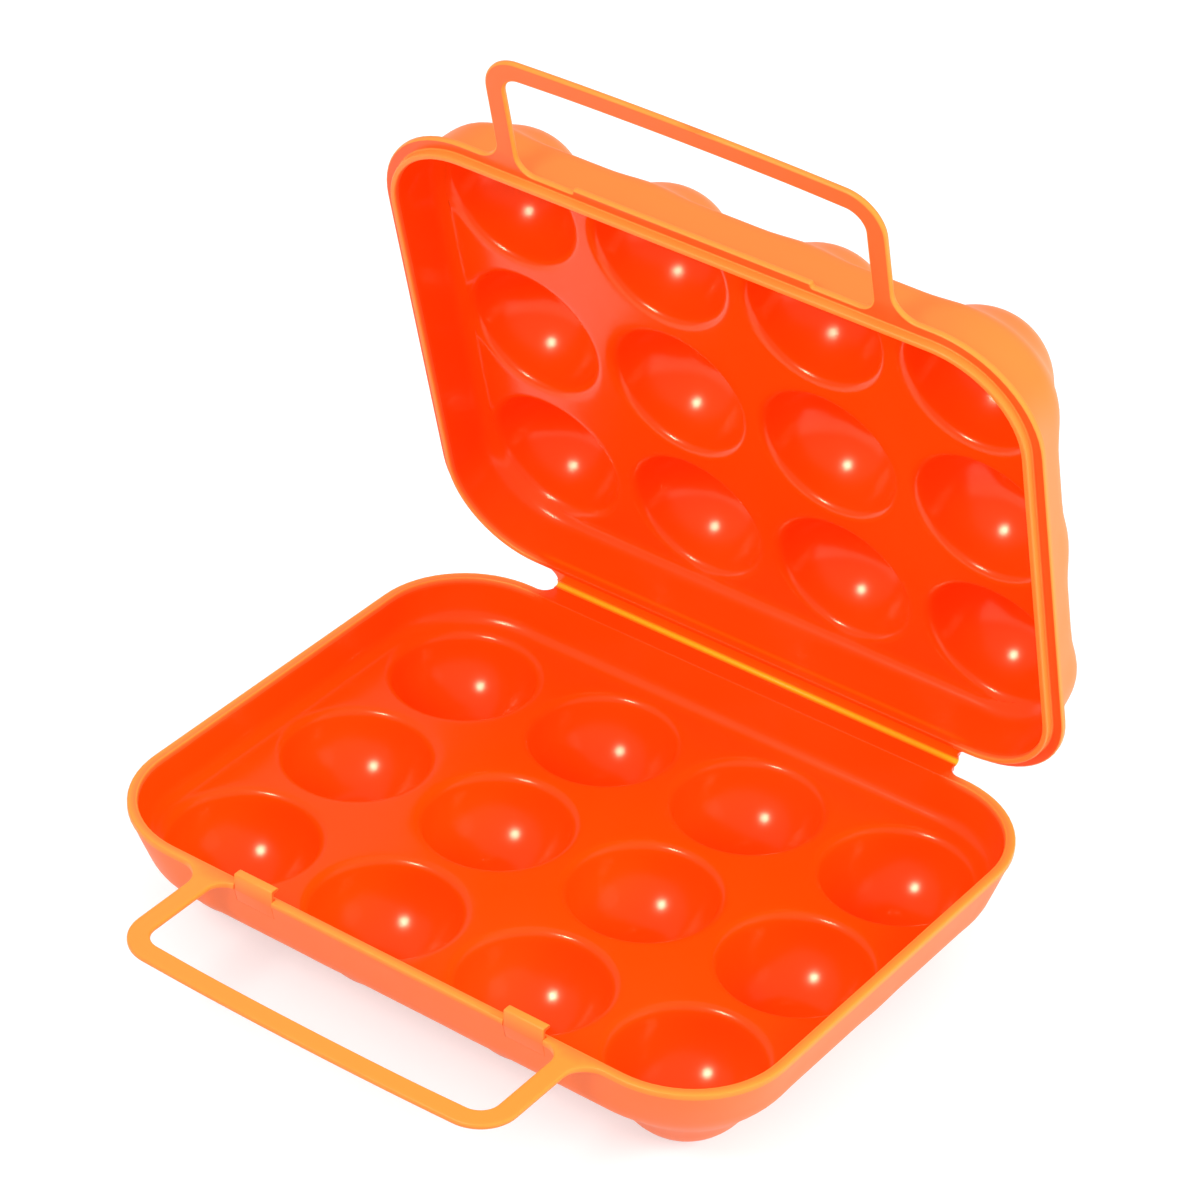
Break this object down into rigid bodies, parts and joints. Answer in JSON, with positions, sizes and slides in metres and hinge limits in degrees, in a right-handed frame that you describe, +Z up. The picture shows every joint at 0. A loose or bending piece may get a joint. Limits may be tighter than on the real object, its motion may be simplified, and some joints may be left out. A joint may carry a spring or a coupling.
{
  "type": "egg storage container",
  "caption": "Clamshell egg keeper: a tray and a lid with matching egg cups, a thin film hinge, snap catches and a flat carrying handle on each half.",
  "frame": {"origin": "middle of the open keeper's bounding box, on the surface that it stands on", "axes": "+X along the hinge, +Y from the tray's handle to the hinge, +Z up"},
  "size_m": [0.205, 0.2282, 0.2304],
  "materials": {
    "shell_plastic": "glossy moulded polypropylene, slightly translucent orange",
    "film_plastic": "thin glossy polypropylene film, paler where light comes through"
  },
  "bodies": {
    "base": {"tray": "shell_plastic", "tray_handle": "shell_plastic", "hinge_film": "film_plastic"},
    "left_tab": {"left_catch": "shell_plastic"},
    "right_tab": {"right_catch": "shell_plastic"},
    "cover": {"lid": "shell_plastic", "lid_handle": "shell_plastic"}
  },
  "joints": [
    {"name": "lid_hinge", "type": "hinge", "parent": "base", "child": "cover", "pos_m": [0, 0.08891, 0.03465], "axis": [-1, 0, 0], "range_deg": [-74, 106], "deforming": ["hinge_film"]},
    {"name": "left_catch_flex", "type": "hinge", "parent": "base", "child": "left_tab", "pos_m": [-0.04355, -0.07569, 0.0285], "axis": [1, 0, 0], "range_deg": [0, 15], "stiffness_Nm_per_rad": 0.1},
    {"name": "right_catch_flex", "type": "hinge", "parent": "base", "child": "right_tab", "pos_m": [0.04355, -0.07569, 0.0285], "axis": [1, 0, 0], "range_deg": [0, 15], "stiffness_Nm_per_rad": 0.1}
  ]
}
